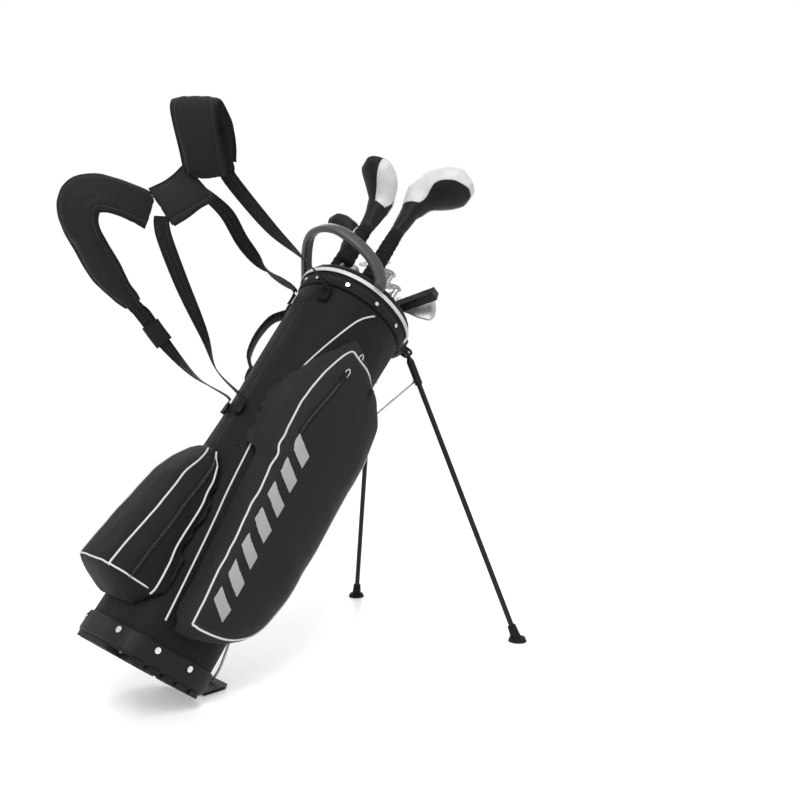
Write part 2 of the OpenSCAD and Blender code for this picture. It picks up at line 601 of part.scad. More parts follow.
module putter_body(c) color([0.1, 0.1, 0.105]) head_frame(c) difference() {
    union() {
        cylinder(r = 6, h = 26);
        translate([0, 0, 24]) rotate([0, -18, 0]) translate([-6, -10, -6]) cube([96, 20, 22]);
    }
    translate([0, 0, -cut]) cylinder(r = shaft_r, h = 20 + cut);
    translate([0, 0, 24]) rotate([0, -18, 0]) translate([26, -2, 4]) cube([34, 20, 30]);
}

// ---- harness ----
// Directions that read as across and down when the harness hangs open over the spine
across = [0.557, -0.707, 0.435];
down = [0.794, -0.297, -0.534];
near_route = [[-409, -34, 708], [-450, -48, 727], [-486, -60, 746], [-509, -64, 766],
    [-500, -46, 790], [-449, -26, 792], [-392, -20, 764]];
centre_route = [[-412, -24, 702], [-413, -12, 682], [-419, 0, 650], [-425, 10, 628]];
far_route = [[-432, 16, 616], [-474, 26, 601], [-508, 38, 583], [-520, 50, 558], [-497, 58, 530],
    [-453, 62, 512], [-393, 62, 494], [-343, 60, 488]];
module pad_form(p, w, t, from, to, sizes) sweep(route(p, 3), w, t, from, to, 3, 16, sizes);
module centre_form(off = 0) pad_form(centre_route, pad_w * 1.2 + 2 * off, pad_t + 2 * off, across,
    mix(across, down, 0.6), [[0, 1], [1, 1]]);
module centre_pad() color([0.1, 0.1, 0.105]) lean() centre_form();
module near_pad() color([0.1, 0.1, 0.105]) lean() difference() {
    pad_form(near_route, pad_w * 1.15, pad_t, across, across, [[0, 1], [0.5, 1], [0.85, 0.9], [1, 0.5]]);
    centre_form(gap);
}
module far_pad() color([0.1, 0.1, 0.105]) lean() difference() {
    pad_form(far_route, pad_w * 1.1, pad_t, down, across, [[0, 1], [0.5, 1], [0.8, 0.9], [1, 0.45]]);
    centre_form(gap);
}

// Angle and height of each strap's anchor on the tube
top_anchor_z = 716;
low_anchor_z = 446;
near_top = [-156, top_anchor_z];
far_top = [156, top_anchor_z];
near_low = [-172, low_anchor_z];
far_low = [166, low_anchor_z];
anchor_h = 4;
// A strap comes off a pad, hangs in a slack line and lies flat on its anchor
function off_pad(p, d) = let (r = route(p, 3), n = len(r)) r[n - 1] + unit(r[n - 1] - r[n - 2]) * d;
function anchor_across(a) = cross(tube_normal(a[0], a[1]), [0, 0, 1]);
function strap_route(p, a, below) = route(concat(p, [
    tube_point(a[0], a[1] + 20 * below, anchor_h + 9), tube_point(a[0], a[1] + 9 * below, anchor_h + 2),
    tube_point(a[0], a[1] - 9 * below, anchor_h + 1.6)]), 3);
module webbing(p, a, below = 1) color([0.07, 0.07, 0.075]) lean() difference() {
    sweep(strap_route(p, a, below), web_w, web_t, across, anchor_across(a) * below, 4, 12);
    centre_form(gap);
    anchor(a, gap);
}
near_top_line = [off_pad(near_route, gap), off_pad(near_route, 4), off_pad(near_route, 24),
    [-267, -32, 739], [-190, -44, 740]];
far_top_line = [[-412, -12, 692], [-386, 2, 706], [-330, 10, 716], [-267, 20, 706], [-196, 34, 712]];
near_low_line = [[-421, 8, 636], [-408, 6, 606], [-386, 4, 588], [-319, 4, 552], [-234, 4, 512],
    [-180, 0, 478]];
far_low_line = [off_pad(far_route, gap), off_pad(far_route, 4), off_pad(far_route, 24),
    [-266, 50, 470], [-188, 40, 458]];
module near_top_webbing() webbing(near_top_line, near_top);
module far_top_webbing() webbing(far_top_line, far_top);
module near_low_webbing() webbing(near_low_line, near_low);
module far_low_webbing() webbing(far_low_line, far_low);
module anchor(a, off = 0) toward(tube_point(a[0], a[1], 2 * gap - off), tube_normal(a[0], a[1]))
    cylinder(r = 12 + off, h = anchor_h - gap + 2 * off);
module strap_anchors() color([0.5, 0.5, 0.52]) lean() for (a = [near_top, far_top, near_low, far_low])
    anchor(a);
// Ladder lock round the far lower strap, in two halves that leave the strap its slot
lock_from = 7;
module ladder_locks() color([0.07, 0.07, 0.075]) lean() difference() {
    line = strap_route(far_low_line, far_low, 1);
    wide = mix(unit(across), unit(anchor_across(far_low)), (lock_from + 1) / (len(line) - 1));
    sweep([for (i = [lock_from : lock_from + 2]) line[i]], web_w + 8, web_t + 6, wide, wide, 5, 12);
    sweep(line, web_w + 2 * gap, web_t + 2 * gap, across, anchor_across(far_low), 4, 12);
}

base_boot();
base_rivets();
bag_tube();
tube_stays();
top_collar();
collar_trim();
collar_rivets();
divider_frame();
collar_handle();
carry_handle();
handle_rivets();
apparel_pocket();
ball_pocket();
zip_pulls();
leg_bracket();
bracket_screws();
leg_pins();
flap_pin();
centre_pad();
near_pad();
far_pad();
near_top_webbing();
far_top_webbing();
near_low_webbing();
far_low_webbing();
strap_anchors();
ladder_locks();
leg_sleeve(near);  // near_leg_sleeve
leg_tube(near);  // near_leg_tube
leg_foot(near);  // near_leg_foot
leg_sleeve(far);  // far_leg_sleeve
leg_tube(far);  // far_leg_tube
leg_foot(far);  // far_leg_foot
stay(near);  // near_stay
stay(far);  // far_stay
push_rod();
foot_flap();
shaft(driver);  // driver_shaft
wood_head(driver, 92, 84, 50);  // driver_head
cover(driver, 118, 104, 68, 235);  // driver_cover
shaft(fairway);  // fairway_shaft
wood_head(fairway, 72, 62, 34);  // fairway_head
cover(fairway, 96, 80, 52, 165);  // fairway_cover
shaft(hybrid);  // hybrid_shaft
wood_head(hybrid, 58, 44, 28);  // hybrid_head
cover(hybrid, 78, 58, 44, 95);  // hybrid_cover
shaft(iron_6);  // iron_6_shaft
iron_head(iron_6, 74, 50, 24);  // iron_6_head
shaft(iron_7);  // iron_7_shaft
iron_head(iron_7, 74, 52, 28);  // iron_7_head
shaft(iron_8);  // iron_8_shaft
iron_head(iron_8, 74, 53, 32);  // iron_8_head
shaft(iron_9);  // iron_9_shaft
iron_head(iron_9, 74, 54, 36);  // iron_9_head
shaft(wedge);  // wedge_shaft
iron_head(wedge, 76, 58, 40);  // wedge_head
shaft(putter);  // putter_shaft
putter_body(putter);  // putter_head
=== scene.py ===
import math

import bpy
import numpy as np
from mathutils import Matrix, Vector, noise
from mathutils.bvhtree import BVHTree


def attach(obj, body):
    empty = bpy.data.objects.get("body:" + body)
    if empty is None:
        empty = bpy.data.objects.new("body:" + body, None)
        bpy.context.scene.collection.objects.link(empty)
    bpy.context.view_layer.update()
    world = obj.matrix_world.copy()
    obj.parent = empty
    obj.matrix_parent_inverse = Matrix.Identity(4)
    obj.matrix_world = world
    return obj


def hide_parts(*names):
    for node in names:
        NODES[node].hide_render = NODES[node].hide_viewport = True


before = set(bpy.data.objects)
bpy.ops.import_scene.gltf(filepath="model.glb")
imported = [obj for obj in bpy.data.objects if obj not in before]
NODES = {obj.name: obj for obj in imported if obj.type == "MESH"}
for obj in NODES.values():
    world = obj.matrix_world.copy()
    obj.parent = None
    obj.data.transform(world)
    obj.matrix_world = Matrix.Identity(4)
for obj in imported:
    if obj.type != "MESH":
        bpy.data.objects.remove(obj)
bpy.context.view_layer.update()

# ---- the bag's own frame, in millimetres: x towards the legs, y across, z along the bag ----
MM = 0.001
LEAN = math.radians(38)
BAG_H, COLLAR_H, BOOT_H, TUBE_FOOT = 800, 56, 44, 11
BOOT_A, BOOT_B, BOOT_WALL, BOOT_POWER = 103, 97, 4, 3.4
TOP_A, TOP_B, TOP_POWER = 117, 109, 2.1
FLAP_L = 58
EDGE_X = 5 * math.cos(LEAN) + 10 * math.sin(LEAN) + FLAP_L / 2
TO_ROW = (Matrix.Scale(MM, 4) @ Matrix.Translation((-EDGE_X, 0, 0))
          @ Matrix.Rotation(LEAN, 4, "Y") @ Matrix.Translation((-BOOT_A, 0, 0)))
TO_BAG = TO_ROW.inverted()
COLLAR_FOOT = BAG_H - COLLAR_H


def mix(a, b, t):
    return a + (b - a) * t


def row(p):
    return TO_ROW @ Vector(p)


def rise(z):
    return max(z - BOOT_H, 0) / (BAG_H - BOOT_H)


def tube_size(z):
    """Half depth, half width and squareness of the fabric tube at a height."""
    k = rise(z)
    return (mix(BOOT_A - BOOT_WALL, TOP_A, k), mix(BOOT_B - BOOT_WALL, TOP_B, k),
            mix(BOOT_POWER, TOP_POWER, min(2 * k, 1)))


def tube_point(t, z, off=0.0):
    """Bag frame place on the tube, t degrees from the leg side towards the far side, and its normal."""
    a, b, p = tube_size(z)
    c, s = math.cos(math.radians(t)), math.sin(math.radians(t))
    k = ((abs(c) / a) ** p + (abs(s) / b) ** p) ** (-1 / p)
    q = Vector((k * c, k * s, z))
    n = Vector((math.copysign((abs(q.x) / a) ** (p - 1) / a, q.x),
                math.copysign((abs(q.y) / b) ** (p - 1) / b, q.y), 0)).normalized()
    return q + n * off, n


# ---- curves ----
# Points given to route, spaced and smooth_line may be in either frame
def route(points, steps):
    """Smooth line through given points."""
    p = [Vector(q) for q in points]
    n = len(p)
    out = []
    for i in range(n - 1):
        a, b, c, d = p[max(i - 1, 0)], p[i], p[i + 1], p[min(i + 2, n - 1)]
        for s in range(steps):
            t = s / steps
            out.append(0.5 * (2 * b + (c - a) * t + (2 * a - 5 * b + 4 * c - d) * t * t
                              + (3 * b - a - 3 * c + d) * t ** 3))
    return out + [p[-1]]


def tangent(p, i):
    return (p[min(i + 1, len(p) - 1)] - p[max(i - 1, 0)]).normalized()


def spaced(p, pitch):
    """Points at an even pitch along a line."""
    out, carry = [p[0].copy()], 0.0
    for a, b in zip(p, p[1:]):
        length = (b - a).length
        at = pitch - carry
        while at <= length:
            out.append(a.lerp(b, at / length))
            at += pitch
        carry = length - (at - pitch)
    return out


# ---- meshes ----
def piece(name, verts, faces, body, slot, material, smooth=True):
    mesh = bpy.data.meshes.new(name)
    mesh.from_pydata([tuple(v) for v in verts], [], faces)
    mesh.validate()
    obj = bpy.data.objects.new(name, mesh)
    bpy.context.scene.collection.objects.link(obj)
    return dress(obj, body, material, smooth)


def dress(obj, body, material, smooth=True):
    obj.data.materials.clear()
    obj.data.materials.append(material)
    for f in obj.data.polygons:
        f.use_smooth = smooth
        f.material_index = 0
    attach(obj, body)
    return obj


def loft(rings, closed_ends=True):
    """Vertices and faces of a skin through rings of equal length."""
    n, m = len(rings[0]), len(rings)
    verts = [p for r in rings for p in r]
    faces = [(i * n + j, i * n + (j + 1) % n, (i + 1) * n + (j + 1) % n, (i + 1) * n + j)
             for i in range(m - 1) for j in range(n)]
    if closed_ends:
        faces += [tuple(range(n - 1, -1, -1)), tuple((m - 1) * n + j for j in range(n))]
    return verts, faces


def section(w, t, power, sides):
    out = []
    for i in range(sides):
        a = 2 * math.pi * i / sides
        c, s = math.cos(a), math.sin(a)
        out.append((w / 2 * math.copysign(abs(c) ** (2 / power), c),
                    t / 2 * math.copysign(abs(s) ** (2 / power), s)))
    return out


def sweep_rings(line, ring, wides):
    rings = []
    for i, p in enumerate(line):
        d = tangent(line, i)
        out = d.cross(wides[i]).normalized()
        wide = out.cross(d).normalized()
        rings.append([p + wide * x + out * y for x, y in ring])
    return rings


def tube_rings(line, radius, sides=8):
    """Rings of a round cord along a line, with the least twist."""
    up = Vector((0.3, 0.2, 0.93))
    rings = []
    for i, p in enumerate(line):
        d = tangent(line, i)
        side = d.cross(up).normalized()
        up = side.cross(d).normalized()
        rings.append([p + (side * math.cos(a) + up * math.sin(a)) * radius
                      for a in [2 * math.pi * k / sides for k in range(sides)]])
    return rings


def merge(parts):
    verts, faces = [], []
    for v, f in parts:
        base = len(verts)
        verts += v
        faces += [tuple(base + i for i in q) for q in f]
    return verts, faces


def surface_of(obj):
    return BVHTree.FromPolygons([v.co.copy() for v in obj.data.vertices],
                                [tuple(p.vertices) for p in obj.data.polygons])


def snap(points, tree, lift):
    """Row frame points moved onto a surface, and lifted off it; also the normals there."""
    out, normals = [], []
    for p in points:
        q, n, _, _ = tree.find_nearest(p)
        if n.dot(p - q) < 0 and (p - q).length > 0.03:
            n = -n
        out.append(q + n * lift)
        normals.append(n)
    return out, normals


def smooth_line(points, times=2):
    for _ in range(times):
        points = [points[0]] + [(a + b * 2 + c) / 4 for a, b, c in zip(points, points[1:], points[2:])
                                ] + [points[-1]]
    return points


def piping(name, points, tree, body, slot, material, radius=0.0018, lift=0.0008, pitch=0.006):
    line, _ = snap(spaced(route(points, 8), pitch), tree, lift)
    v, f = loft(tube_rings(smooth_line(line), radius))
    return piece(name, v, f, body, slot, material)


def stitches(name, lines, tree, body, slot, material, pitch=0.0042, dash=0.0027, radius=0.00045):
    """Rows of thread dashes that lie on a surface."""
    parts = []
    for points in lines:
        line = spaced(points, pitch)
        for i in range(len(line) - 1):
            q, n, _, _ = tree.find_nearest((line[i] + line[i + 1]) / 2)
            along = (line[i + 1] - line[i]).normalized()
            along = (along - n * along.dot(n)).normalized()
            side = along.cross(n)
            ring = [(0.0, 0.2), (0.25, 1.0), (0.75, 1.0), (1.0, 0.2)]
            rings = [[q + n * radius * 0.5 + along * dash * (s - 0.5)
                      + (side * math.cos(a) + n * math.sin(a)) * radius * k
                      for a in [2 * math.pi * j / 5 for j in range(5)]] for s, k in ring]
            parts.append(loft(rings))
    v, f = merge(parts)
    return piece(name, v, f, body, slot, material)


def zipper(name, points, tree, body, width=0.010):
    """A zip: woven tapes with a coil of teeth between them, laid on a surface."""
    line, normals = snap(spaced(route(points, 8), 0.004), tree, 0.0006)
    line = smooth_line(line, 3)
    wides = [tangent(line, i).cross(normals[i]).normalized() for i in range(len(line))]
    tape = loft(sweep_rings(line, section(width, 0.0012, 5, 12), wides))
    piece(name + "_tape", *tape, body, "zip_black", ZIP_TAPE)
    parts = []
    tooth = spaced(line, 0.0019)
    for i in range(len(tooth) - 1):
        q, n, _, _ = tree.find_nearest(tooth[i])
        d = tangent(tooth, i)
        side = d.cross(n).normalized() * (0.0009 if i % 2 else -0.0009)
        centre = tooth[i] + n * 0.0010 + side
        across = side.normalized() * 0.0015
        rings = [[centre + across * x + d * 0.0006 * math.cos(a) + n * 0.0009 * math.sin(a)
                  for a in [2 * math.pi * j / 6 for j in range(6)]] for x in (-1, 1)]
        parts.append(loft(rings))
    v, f = merge(parts)
    piece(name + "_teeth", v, f, body, "zip_black", ZIP_TEETH)


# ---- soft pieces from the CAD's own shapes ----
def bake(obj):
    graph = bpy.context.evaluated_depsgraph_get()
    mesh = bpy.data.meshes.new_from_object(obj.evaluated_get(graph))
    obj.modifiers.clear()
    obj.data = mesh


def positions(obj):
    co = np.zeros(len(obj.data.vertices) * 3)
    obj.data.vertices.foreach_get("co", co)
    return co.reshape(-1, 3)


def set_positions(obj, co):
    obj.data.vertices.foreach_set("co", co.astype(np.float32).ravel())
    obj.data.update()


def normals_of(obj):
    return np.array([v.normal[:] for v in obj.data.vertices])


def remeshed(node, name, voxel, relax):
    """A copy of a CAD solid with even quads and softened edges."""
    obj = bpy.data.objects.new(name, NODES[node].data.copy())
    bpy.context.scene.collection.objects.link(obj)
    weld = obj.modifiers.new("weld", "WELD")
    weld.merge_threshold = 1e-5
    remesh = obj.modifiers.new("remesh", "REMESH")
    remesh.mode = "VOXEL"
    remesh.voxel_size = voxel
    soft = obj.modifiers.new("soft", "SMOOTH")
    soft.iterations = relax
    bake(obj)
    return obj


def puffed(node, name, voxel, cap, shrink, pressure=4.0, relax=4):
    """A padded copy of a CAD solid: remeshed, drawn in a little and blown up as cloth."""
    obj = remeshed(node, name, voxel, relax)
    start = positions(obj) - normals_of(obj) * shrink
    set_positions(obj, start)
    cloth = obj.modifiers.new("cloth", "CLOTH")
    cloth.settings.quality = 4
    cloth.settings.mass = 0.3
    cloth.settings.use_pressure = True
    cloth.settings.uniform_pressure_force = pressure
    cloth.settings.effector_weights.gravity = 0
    cloth.collision_settings.use_collision = False
    cloth.point_cache.frame_start = 1
    cloth.point_cache.frame_end = 20
    for f in range(1, 21):
        bpy.context.scene.frame_set(f)
    bake(obj)
    bpy.context.scene.frame_set(1)
    move = positions(obj) - start
    length = np.linalg.norm(move, axis=1, keepdims=True)
    set_positions(obj, start + move * np.minimum(1, cap / np.maximum(length, 1e-9)))
    return obj


def creased(obj, amount, scale, seed, stretch=(1, 1, 1)):
    """Soft folds: each point moves along its normal by smooth noise."""
    co, n = positions(obj), normals_of(obj)
    k = np.array([noise.fractal(Vector((p * stretch)) * scale + Vector((seed, seed, seed)), 0.6, 2.0, 3)
                  for p in co * np.array(stretch)])
    set_positions(obj, co + n * (k * amount)[:, None])


def grooved(obj, lines, depth, width):
    """Presses sewn lines into a padded piece."""
    co, n = positions(obj), normals_of(obj)
    points = np.array([p[:] for line in lines for p in spaced(line, width / 2)])
    near = np.full(len(co), 1e9)
    for p in points:
        near = np.minimum(near, np.linalg.norm(co - p, axis=1))
    set_positions(obj, co - n * (depth * np.exp(-(near / width) ** 2))[:, None])


def subdivided(obj, levels=1):
    sub = obj.modifiers.new("subdivision", "SUBSURF")
    sub.levels = sub.render_levels = levels
    bake(obj)


# ---- materials ----
def shade(name, color, rough, metallic=0.0, vary=0.12, vary_scale=30.0, bump=(), coat=0.0, sheen=0.0,
          second=None, shine=None):
    """A material whose colour and roughness vary, with layers of small relief; the first layer also darkens
    the colour in its low parts, as painted shade.
    bump is a list of (kind, size of a feature in metres, strength)."""
    m = bpy.data.materials.new(name)
    m.use_nodes = True
    tree = m.node_tree
    add, link = tree.nodes.new, tree.links.new
    shader = tree.nodes["Principled BSDF"]
    shader.inputs["Metallic"].default_value = metallic
    shader.inputs["Coat Weight"].default_value = coat
    shader.inputs["Sheen Weight"].default_value = sheen
    if shine is None:
        shine = 0.16 if max(color) < 0.04 and rough > 0.3 else 0.5
    shader.inputs["Specular IOR Level"].default_value = shine
    place = add("ShaderNodeTexCoord").outputs["Object"]

    def texture(kind, size):
        if kind == "noise":
            t = add("ShaderNodeTexNoise")
            t.inputs["Scale"].default_value = 1 / size
            t.inputs["Detail"].default_value = 4
            out = t.outputs["Fac"]
        elif kind == "cells":
            t = add("ShaderNodeTexVoronoi")
            t.inputs["Scale"].default_value = 1 / size
            out = t.outputs["Distance"]
        elif kind == "brush":
            t = add("ShaderNodeTexNoise")
            t.inputs["Scale"].default_value = 1 / size
            squeeze = add("ShaderNodeMapping")
            squeeze.inputs["Scale"].default_value = (1.0, 1.0, 0.04)
            link(place, squeeze.inputs["Vector"])
            link(squeeze.outputs["Vector"], t.inputs["Vector"])
            return t.outputs["Fac"]
        else:
            turn = add("ShaderNodeMapping")
            turn.inputs["Rotation"].default_value = (0, -LEAN, 0)
            link(place, turn.inputs["Vector"])
            bands = []
            for axis in ("Z", "DIAGONAL") if kind == "weave" else ("Z",):
                w = add("ShaderNodeTexWave")
                w.bands_direction = axis
                w.inputs["Scale"].default_value = 0.314 / size
                w.inputs["Distortion"].default_value = 0.4
                w.inputs["Detail"].default_value = 1
                link(turn.outputs["Vector"], w.inputs["Vector"])
                bands.append(w.outputs["Fac"])
            if len(bands) == 1:
                return bands[0]
            both = add("ShaderNodeMath")
            both.operation = "MULTIPLY"
            link(bands[0], both.inputs[0])
            link(bands[1], both.inputs[1])
            return both.outputs["Value"]
        link(place, t.inputs["Vector"])
        return out

    patch = texture("noise", 1 / vary_scale)
    tone = add("ShaderNodeMix")
    tone.data_type = "RGBA"
    dark = [c * (1 - vary) for c in color] + [1]
    light = [min(1, c * (1 + vary)) for c in (second or color)] + [1]
    tone.inputs["A"].default_value = dark
    tone.inputs["B"].default_value = light
    link(patch, tone.inputs["Factor"])
    colour_out = tone.outputs["Result"]
    normal = None
    for i, (kind, size, strength) in enumerate(bump):
        relief = texture(kind, size)
        node = add("ShaderNodeBump")
        node.inputs["Strength"].default_value = strength
        node.inputs["Distance"].default_value = size * 0.5
        link(relief, node.inputs["Height"])
        if normal:
            link(normal, node.inputs["Normal"])
        normal = node.outputs["Normal"]
        # painted shade: the base colour is multiplied by the first relief, so it is darker in the relief's
        # low parts, its grooves and pits
        if i == 0:
            groove_shade = add("ShaderNodeMix")
            groove_shade.data_type = "RGBA"
            groove_shade.blend_type = "MULTIPLY"
            groove_shade.inputs["Factor"].default_value = 0.35
            link(colour_out, groove_shade.inputs["A"])
            link(relief, groove_shade.inputs["B"])
            colour_out = groove_shade.outputs["Result"]
    link(colour_out, shader.inputs["Base Color"])
    spread = add("ShaderNodeMapRange")
    spread.inputs["To Min"].default_value = max(rough - 0.08, 0.02)
    spread.inputs["To Max"].default_value = min(rough + 0.08, 1)
    link(patch, spread.inputs["Value"])
    link(spread.outputs["Result"], shader.inputs["Roughness"])
    if normal:
        link(normal, shader.inputs["Normal"])
    return m


CANVAS = shade("canvas_black", (0.0085, 0.0085, 0.009), 0.66, sheen=0.02,
               bump=[("weave", 0.0011, 0.5), ("noise", 0.012, 0.25)])
PANEL = shade("panel_charcoal", (0.016, 0.016, 0.017), 0.62, sheen=0.02,
              bump=[("weave", 0.0014, 0.55), ("noise", 0.018, 0.3)])
SPACER = shade("spacer_mesh", (0.012, 0.012, 0.013), 0.8, bump=[("cells", 0.0032, 0.9)], sheen=0.04, vary=0.2)
NEOPRENE = shade("pad_cloth", (0.012, 0.012, 0.013), 0.68, sheen=0.04,
                 bump=[("weave", 0.0009, 0.4), ("noise", 0.008, 0.3)])
RIBBON = shade("webbing", (0.008, 0.008, 0.0085), 0.6, bump=[("ribs", 0.0016, 0.8), ("noise", 0.004, 0.2)])
RUBBER = shade("moulded_boot", (0.008, 0.008, 0.0085), 0.5, bump=[("noise", 0.0012, 0.35)],
               second=(0.014, 0.014, 0.015))
FOOT = shade("foot_rubber", (0.008, 0.008, 0.009), 0.65, bump=[("noise", 0.0008, 0.4)])
PLASTIC = shade("moulded_black", (0.009, 0.009, 0.0095), 0.38, bump=[("noise", 0.0009, 0.25)])
GREY = shade("moulded_grey", (0.050, 0.050, 0.052), 0.42, bump=[("noise", 0.0009, 0.3)])
GRIP = shade("grip_rubber", (0.012, 0.012, 0.013), 0.55, bump=[("ribs", 0.004, 0.6), ("noise", 0.001, 0.3)])
TRIM = shade("piping_white", (0.72, 0.72, 0.70), 0.45, bump=[("noise", 0.0015, 0.2)], vary=0.06)
THREAD = shade("thread_grey", (0.07, 0.07, 0.073), 0.7, bump=[("noise", 0.0006, 0.5)])
CHROME = shade("rivet_chrome", (0.80, 0.80, 0.82), 0.16, metallic=1.0, vary=0.05,
               bump=[("noise", 0.002, 0.08)])
STEEL = shade("wire_steel", (0.42, 0.42, 0.44), 0.34, metallic=1.0, bump=[("brush", 0.0008, 0.3)])
SHAFT = shade("shaft_steel", (0.66, 0.66, 0.69), 0.18, metallic=1.0, vary=0.06,
              bump=[("brush", 0.0012, 0.15)])
GRAPHITE = shade("shaft_graphite", (0.012, 0.012, 0.014), 0.25, coat=0.6, bump=[("brush", 0.001, 0.15)])
IRON = shade("iron_satin", (0.50, 0.50, 0.52), 0.30, metallic=1.0, vary=0.1,
             bump=[("brush", 0.0007, 0.3), ("noise", 0.006, 0.1)])
WOOD = shade("wood_gloss", (0.014, 0.014, 0.016), 0.14, coat=0.7, bump=[("noise", 0.0006, 0.05)])
PUTTER = shade("putter_black", (0.03, 0.03, 0.032), 0.35, metallic=0.8, bump=[("brush", 0.0007, 0.2)])
LEATHER = shade("cover_leather", (0.76, 0.76, 0.74), 0.48, vary=0.05,
                bump=[("cells", 0.0016, 0.3), ("noise", 0.010, 0.15)])
KNIT = shade("cover_knit", (0.009, 0.009, 0.0095), 0.8, bump=[("weave", 0.0022, 0.9)], sheen=0.04)
COVER_DARK = shade("cover_leather_black", (0.010, 0.010, 0.011), 0.5,
                   bump=[("cells", 0.0014, 0.3), ("noise", 0.010, 0.2)])
FLEECE = shade("divider_fleece", (0.010, 0.010, 0.011), 0.9, bump=[("noise", 0.0014, 0.8)], sheen=0.05)
LEG = shade("leg_coated", (0.010, 0.010, 0.011), 0.32, metallic=0.3, bump=[("noise", 0.0007, 0.2)], coat=0.2)
GLASS_ROD = shade("glass_fibre_rod", (0.5, 0.5, 0.42), 0.4, bump=[("brush", 0.001, 0.3)])
ZIP_TAPE = shade("zip_tape", (0.007, 0.007, 0.0075), 0.7, bump=[("weave", 0.0008, 0.6)])
ZIP_TEETH = shade("zip_teeth", (0.05, 0.05, 0.053), 0.25, bump=[("noise", 0.0005, 0.2)], coat=0.4)
CORD = shade("cord_white", (0.70, 0.70, 0.69), 0.7, bump=[("weave", 0.0008, 0.7)])
BAR_GREY = shade("bar_print", (0.42, 0.42, 0.43), 0.5, bump=[("weave", 0.0014, 0.4)])

CLUBS = ["driver", "fairway", "hybrid", "iron_6", "iron_7", "iron_8", "iron_9", "wedge", "putter"]
COVERED = CLUBS[:3]
IRONS = CLUBS[3:8]
LOOKS = {
    "base_boot": RUBBER, "foot_flap": RUBBER, "base_rivets": CHROME, "collar_rivets": CHROME,
    "handle_rivets": CHROME, "bracket_screws": CHROME, "tube_stays": GLASS_ROD, "collar_trim": TRIM,
    "divider_frame": FLEECE, "collar_handle": GREY, "carry_handle": GRIP, "zip_pulls": PLASTIC,
    "leg_bracket": PLASTIC, "leg_pins": STEEL, "flap_pin": STEEL, "strap_anchors": PLASTIC,
    "ladder_locks": PLASTIC, "near_leg_sleeve": PLASTIC, "far_leg_sleeve": PLASTIC, "near_leg_tube": LEG,
    "far_leg_tube": LEG, "near_leg_foot": FOOT, "far_leg_foot": FOOT, "near_stay": STEEL,
    "far_stay": STEEL, "push_rod": STEEL}
for club in CLUBS:
    LOOKS[club + "_shaft"] = GRAPHITE if club in COVERED else SHAFT
    LOOKS[club + "_head"] = WOOD if club in COVERED else IRON
LOOKS["putter_head"] = PUTTER
for node, look in LOOKS.items():
    NODES[node].data.materials.clear()
    NODES[node].data.materials.append(look)

# the lower end of each shaft is its rubber grip
GRIP_TOP = 278
for club in CLUBS:
    shaft = NODES[club + "_shaft"].data
    shaft.materials.append(GRIP)
    for face in shaft.polygons:
        if (TO_BAG @ face.center).z < GRIP_TOP:
            face.material_index = 1


# ---- fabric tube ----
def build_tube():
    around, along = 112, 120
    seam_sink = 1.2
    rings = []
    for j in range(along + 1):
        z = mix(TUBE_FOOT + 1, COLLAR_FOOT - 1, j / along)
        ring = []
        for i in range(around):
            t = 360 * i / around
            p, n = tube_point(t, z)
            fold = noise.fractal(Vector((p.x * 0.012, p.y * 0.012, z * 0.0035)), 0.6, 2.0, 3)
            pull = noise.noise(Vector((t * 0.09, z * 0.004, 4.0)))
            calm = min(1, (z - TUBE_FOOT) / 80, (COLLAR_FOOT - z) / 60)
            seam = math.exp(-(((t - 180) / 1.6) ** 2)) + math.exp(-(((t - 118) / 1.4) ** 2))
            off = -1.0 + (1.5 * fold + 0.9 * pull) * calm - seam_sink * seam * calm
            ring.append(row(p + n * min(off, 0.2)))
        rings.append(ring)
    v, f = loft(rings, closed_ends=False)
    tube = piece("tube_cloth", v, f, "bag", "bag_fabric", CANVAS)
    wall = tube.modifiers.new("wall", "SOLIDIFY")
    wall.thickness = 0.002
    wall.offset = -1
    bake(tube)
    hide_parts("bag_tube")
    tree = surface_of(tube)
    spine = []
    for t in (178, 182, 116.6, 119.4):
        spine.append([row(tube_point(t, z)[0]) for z in range(60, 736, 8)])
    stitches("tube_stitches", spine, tree, "bag", "bag_fabric", THREAD)
    return tree


# ---- padded collar ----
def build_collar():
    collar = puffed("top_collar", "collar_pad", 0.0045, 0.003, 0.0022, relax=6)
    dress(collar, "bag", SPACER)
    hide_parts("top_collar")
    grooved(collar, [[row(tube_point(t, COLLAR_FOOT + 20, 4)[0]) for t in range(0, 361, 3)]], 0.0014, 0.004)
    tree = surface_of(collar)
    rows = []
    for z in (COLLAR_FOOT + 3, COLLAR_FOOT + 18, COLLAR_FOOT + 46):
        rows.append([row(tube_point(t, z, 7)[0]) for t in range(50, 311, 3)])
    stitches("collar_stitches", rows, tree, "bag", "collar_mesh", THREAD)


# ---- pockets ----
PANEL_EDGE = [(-63, -160, 76), (-80, -160, 190), (-92, -160, 300), (-108, -160, 428), (-110, -160, 485),
              (-96, -160, 560), (-66, -155, 632), (-30, -150, 618), (22, -152, 604), (80, -145, 588),
              (112, -140, 548), (119, -140, 493), (118, -140, 325), (122, -140, 264), (117, -140, 187),
              (92, -145, 132), (58, -148, 106), (20, -150, 90), (-30, -155, 80), (-63, -160, 76)]
APPAREL_SEAM = [(-23, -112, 735), (-50, -99, 692), (-83, -75, 554), (-90, -65, 455), (-85, -69, 405),
                (-76, -75, 302), (-68, -80, 226), (-56, -88, 70)]


def on_tube(points, off=1.5):
    out = []
    for x, y, z in points:
        out.append(row(tube_point(math.degrees(math.atan2(y, x)), z, off)[0]))
    return out


